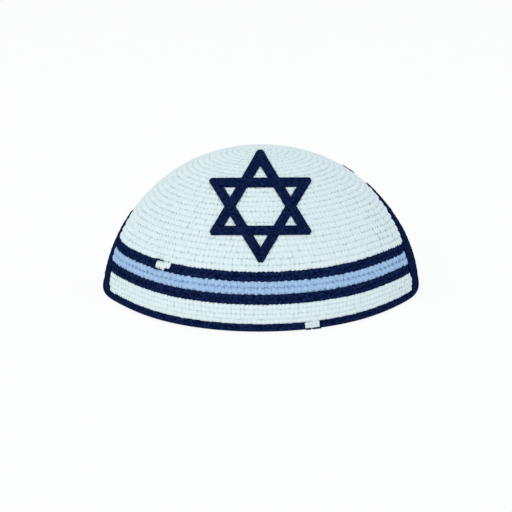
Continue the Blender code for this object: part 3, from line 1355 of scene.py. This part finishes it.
@dataclass
class Star:
    """The hexagram, worked in satin stitch on the front along the line of sight.

    The march holds the first share of the sight distance, the last and the step between.
    """

    dome: Dome
    apothem: float = 0.01392
    spread: float = 0.00037
    stretch: float = 1.044
    bar: float = 0.0043
    tip_round: float = 0.0015
    aside: float = -0.0003
    centre_share: float = 0.762
    sight_distance: float = 0.585
    sight_dip: float = math.radians(15.4)
    thread_step: float = 0.00046
    thread_half: float = 0.00034
    shortest_thread: float = 0.0004
    overlap: float = 0.65
    seat: float = 0.0005
    edge_lift: float = -0.0003
    middle_lift: float = 0.0001
    rings: int = 6
    sides: int = 5
    arch_power: float = 0.6
    jitter: float = 0.06
    tone_spread: float = 0.3
    march: tuple[float, float, float] = (0.9, 1.12, 0.004)
    halvings: int = 20
    seed: int = 51

    def sheet_threads(self, point_angle: float) -> np.ndarray:
        """Return the threads of one triangle, drawn flat.

        Args:
            point_angle: The heading of the triangle's point.

        Returns:
            Centre lines in the flat sheet, thread by thread.
        """
        half_corner = math.radians(30)
        half_side = self.apothem / math.tan(half_corner)
        straight = half_side - self.tip_round / math.tan(half_corner)
        reach = straight + self.tip_round * math.cos(half_corner)
        along = np.arange(-reach, reach, self.thread_step)
        curve = np.clip(np.abs(along) - straight, 0.0, self.tip_round)
        cut = self.tip_round - np.sqrt(self.tip_round ** 2 - curve ** 2)
        depth = np.minimum(self.bar, (half_side - np.abs(along)) * math.tan(half_corner))
        kept = depth - cut > self.shortest_thread
        along, cut, depth = along[kept], cut[kept], depth[kept]
        share = np.linspace(0.0, 1.0, self.rings)
        away = self.apothem - cut[:, None] - (depth - cut)[:, None] * share
        sides = []
        for turn in (60, 180, 300):
            heading = point_angle + math.radians(turn)
            out = np.array([math.cos(heading), math.sin(heading)])
            run = np.array([-out[1], out[0]])
            sides.append(away[..., None] * out + along[:, None, None] * run)
        flat = np.concatenate(sides) * np.array([self.stretch, 1.0])
        return flat + self.spread * np.array([0.0, math.sin(point_angle)])

    def beyond(self, spot: np.ndarray) -> np.ndarray:
        """Return which points lie outside the dome.

        Args:
            spot: The points.

        Returns:
            True for each point that is outside.
        """
        ring = np.hypot(spot[..., 0], spot[..., 1]) / (self.dome.radius + self.seat)
        level = np.clip(spot[..., 2] / (self.dome.height + self.seat), 0.0, None)
        return ring ** SHOULDER_POWER + level ** FLANK_POWER > 1.0

    def lay_down(self, flat: np.ndarray) -> tuple[np.ndarray, np.ndarray]:
        """Lay points of the flat sheet on the dome along the line of sight.

        Args:
            flat: Points of the sheet.

        Returns:
            Points on the dome and their outward directions.
        """
        dome = self.dome
        height = self.centre_share * dome.height
        radius = float(dome.radius_at(dome.arc_at(height)))
        centre = np.array([self.aside, -radius, height])
        to_eye = np.array([0.0, -math.cos(self.sight_dip), math.sin(self.sight_dip)])
        across = np.array([1.0, 0.0, 0.0])
        up = np.cross(to_eye, across)
        eye = centre + to_eye * self.sight_distance
        ray = centre + flat[..., :1] * across + flat[..., 1:] * up - eye
        first, last, step = self.march
        near = np.full(flat.shape[:-1], first)
        for share in np.arange(first, last, step):
            ahead = self.beyond(eye + ray * (near + step)[..., None]) & (share > near)
            near = np.where(ahead, near + step, near)
        far = near + step
        for _ in range(self.halvings):
            middle = (near + far) / 2
            outside = self.beyond(eye + ray * middle[..., None])
            near, far = np.where(outside, middle, near), np.where(outside, far, middle)
        spot = eye + ray * near[..., None]
        ring = np.hypot(spot[..., 0], spot[..., 1])
        slope, rise = dome.slopes(ring / dome.radius, spot[..., 2] / dome.height)
        flank = spot[..., :2] / ring[..., None] * slope[..., None]
        outward = np.concatenate([flank, rise[..., None]], axis=-1)
        growth = dome.corner(np.arctan2(spot[..., 0], -spot[..., 1]), spot[..., 2]) / ring
        spot[..., :2] *= 1.0 + growth[..., None]
        return spot, unit(outward)

    def spacing(self, spot: np.ndarray) -> np.ndarray:
        """Return how far apart neighbouring threads of each side lie.

        Args:
            spot: The threads' points on the dome.

        Returns:
            The distance at each point.
        """
        sides = spot.reshape(3, -1, *spot.shape[1:])
        apart = np.linalg.norm(np.gradient(sides, axis=1), axis=-1)
        return apart.reshape(spot.shape[:-1])

    def make(self) -> None:
        """Sew both triangles as one piece."""
        skein = Skein(np.random.default_rng(self.seed))
        arch = np.sin(np.pi * np.linspace(0.0, 1.0, self.rings)) ** self.arch_power
        for point_angle in (math.radians(90), math.radians(-90)):
            spot, outward = self.lay_down(self.sheet_threads(point_angle))
            shake = 1.0 + skein.dice.normal(0.0, self.jitter, (len(spot), 1))
            lift = self.edge_lift + (self.middle_lift - self.edge_lift) * arch * shake
            centres = spot + outward * lift[..., None]
            half = self.thread_half * shake
            tone = skein.tone(self.tone_spread, len(spot))
            width = np.maximum(half, self.spacing(spot) * self.overlap)
            skein.strands(centres, outward, width, half, tone, 1.0, self.sides)
        skein.piece("satin_star", NAVY, "star")


@dataclass
class Lamp:
    """A square soft lamp that faces the cap."""

    name: str
    place: tuple[float, float, float]
    power: float
    colour: tuple[float, float, float]
    size: float = 1.2

    def make(self) -> None:
        """Hang the lamp."""
        lamp = bpy.data.lights.new(self.name, "AREA")
        lamp.size = self.size
        lamp.energy = self.power
        lamp.color = self.colour
        holder = bpy.data.objects.new(self.name, lamp)
        holder.location = self.place
        holder.rotation_euler = (-Vector(self.place)).to_track_quat("-Z", "Y").to_euler()
        bpy.context.scene.collection.objects.link(holder)


LAMPS = (
    Lamp("key", (-0.9, -1.4, 1.0), 6.5, (1.0, 1.0, 0.98)),
    Lamp("front", (-0.1, -1.7, 0.7), 1.8, (1.0, 1.0, 0.98)),
    Lamp("top", (0.0, 0.3, 1.8), 3.6, (1.0, 0.99, 0.98)),
    Lamp("fill", (1.6, -0.5, 0.7), 1.6, (0.2, 0.56, 1.0)),
)


@dataclass
class Studio:
    """The pale floor, the soft light and the camera.

    Angles are in degrees, and the camera's distance is in radii of the dome.
    """

    dome: Dome
    camera_distance: float = 8.1065
    camera_rise: float = 18.64
    aim_up: float = 0.953
    aim_left: float = 0.246
    roll: float = 0.309
    focal_pixels: float = 1234.6
    frame_pixels: float = 512.0
    sensor: float = 36.0
    clip: tuple[float, float] = (0.01, 20.0)
    floor_size: float = 12.0
    floor_height: float = -0.0002
    floor_grey: tuple[float, float] = (0.10, 0.12)
    floor_grain: float = 40.0
    floor_glow: float = 0.88
    sky_colour: tuple[float, float, float, float] = (0.94, 0.985, 1.0, 1.0)
    sky_strength: float = 0.77

    def camera(self) -> None:
        """Place the camera as the photograph was seen."""
        rise = math.radians(self.camera_rise)
        reach = self.camera_distance * self.dome.radius
        eye = Vector((0.0, -math.cos(rise), math.sin(rise))) * reach
        right = Vector((1.0, 0.0, 0.0))
        ahead = Matrix.Rotation(math.radians(self.aim_up), 3, right) @ -eye.normalized()
        above = right.cross(ahead)
        pan = Matrix.Rotation(math.radians(self.aim_left), 3, above)
        ahead, right = pan @ ahead, pan @ right
        lean = Matrix.Rotation(math.radians(self.roll), 3, ahead)
        right, above = lean @ right, lean @ above
        lens = bpy.data.cameras.new("view")
        lens.sensor_width = self.sensor
        lens.lens = self.sensor * self.focal_pixels / self.frame_pixels
        lens.clip_start, lens.clip_end = self.clip
        view = bpy.data.objects.new("view", lens)
        turn = Matrix((right, above, -ahead)).transposed().to_4x4()
        view.matrix_world = Matrix.Translation(eye) @ turn
        bpy.context.scene.collection.objects.link(view)
        bpy.context.scene.camera = view

    def floor(self) -> None:
        """Lay the plain pale floor, which glows a little so that it stays even."""
        bpy.ops.mesh.primitive_plane_add(
            size=self.floor_size, location=(0.0, 0.0, self.floor_height)
        )
        ground = bpy.context.object
        ground.name = "floor"
        recipe = Recipe("pale_floor")
        dark, pale = ((grey, grey, grey, 1.0) for grey in self.floor_grey)
        recipe.fill(
            recipe.shader,
            {
                "Base Color": recipe.blend(recipe.noise(self.floor_grain, 2.0), dark, pale),
                "Roughness": 1.0,
                "Specular IOR Level": 0.0,
                "Emission Color": (1.0, 1.0, 1.0, 1.0),
                "Emission Strength": self.floor_glow,
            },
        )
        ground.data.materials.append(recipe.material)

    def make(self) -> None:
        """Set up the camera, the floor and the soft light, a little more from the left."""
        self.camera()
        self.floor()
        world = bpy.data.worlds.new("studio")
        world.use_nodes = True
        sky = world.node_tree.nodes["Background"]
        sky.inputs["Color"].default_value = self.sky_colour
        sky.inputs["Strength"].default_value = self.sky_strength
        bpy.context.scene.world = world
        bpy.context.scene.view_settings.view_transform = "Standard"
        for lamp in LAMPS:
            lamp.make()


# The loose thread end over the right trim: angles, height shares, half widths and lift
LOOSE_END_TURNS = (math.radians(104.5), math.radians(108.3))
LOOSE_END_SHARES = (0.765, 0.82)
LOOSE_END_HALVES = (0.00035, 0.00025)
LOOSE_END_LIFT = 0.0002

# The blue rounds' stitches, and how much deeper their backing lies
BLUE_SUNK = 0.00015
BLUE_FORM = StitchForm(
    pitch=0.00315,
    foot_spread=0.22,
    head_spread=0.27,
    bow=0.02,
    sunk=-0.0012,
    foot_drop=-0.02,
    head_rise=0.12,
    step=0.07,
)


def main() -> None:
    """Build the cap's looks piece by piece."""
    logging.basicConfig(level=logging.INFO, format="%(message)s")
    low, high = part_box("rim_edging")
    dome = Dome(radius=(high.y - low.y) / 2, height=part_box("crown")[1].z)
    for finish in (WHITE, BLUE, NAVY):
        DYES[finish.name] = finish.material()
    Studio(dome).make()
    right = Outline(dome, 1.0, RIGHT_TRIM_SHARES)
    left = Outline(dome, -1.0, LEFT_TRIM_SHARES)
    knitting = Knitting(dome, [right, left])
    rim, white, lower, blue, upper = (
        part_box(node)[1].z
        for node in ("rim_edging", "white_band", "lower_stripe", "blue_band", "upper_stripe")
    )
    Crown(knitting, upper).make()
    mend = StripeMend(
        knitting,
        blue,
        upper,
        tall=Span(math.radians(-43.3), math.radians(-38.9)),
        short=Span(math.radians(-38.9), math.radians(-36.5)),
    )

    def beside_mend(turn: np.ndarray, height: float) -> np.ndarray:
        """Return which stitches of the stripe the mend leaves."""
        return ~mend.covers(turn, height)

    blue_look = {"form": BLUE_FORM, "sunk": BLUE_SUNK}
    for name, node, finish, foot, head, count, seed, options in (
        ("white_courses", "white_band", WHITE, rim, white, 4, 21, {}),
        ("lower_navy_courses", "lower_stripe", NAVY, white, lower, 2, 22, {}),
        ("blue_courses", "blue_band", BLUE, lower, blue, 2, 23, blue_look),
        ("upper_navy_courses", "upper_stripe", NAVY, blue, upper, 2, 24, {"keep": beside_mend}),
    ):
        Band(knitting, name, node, finish, foot, head, count, seed, **options).make()
    mend.make()
    edging = Edging(knitting, rim, Span(math.radians(14.7), math.radians(19.9)))
    edging.make()
    RimMend(edging).make()
    ways = tuple(dome.arc_at(share * dome.height) for share in LOOSE_END_SHARES)
    loose_end = Thread(LOOSE_END_TURNS, ways, LOOSE_END_HALVES, LOOSE_END_LIFT)
    SideTrim(right, "right_trim_stitches", "right_side_trim", 61, loose_end).make()
    SideTrim(left, "left_trim_stitches", "left_side_trim", 62).make()
    Star(dome).make()


if __name__ == "__main__":
    main()
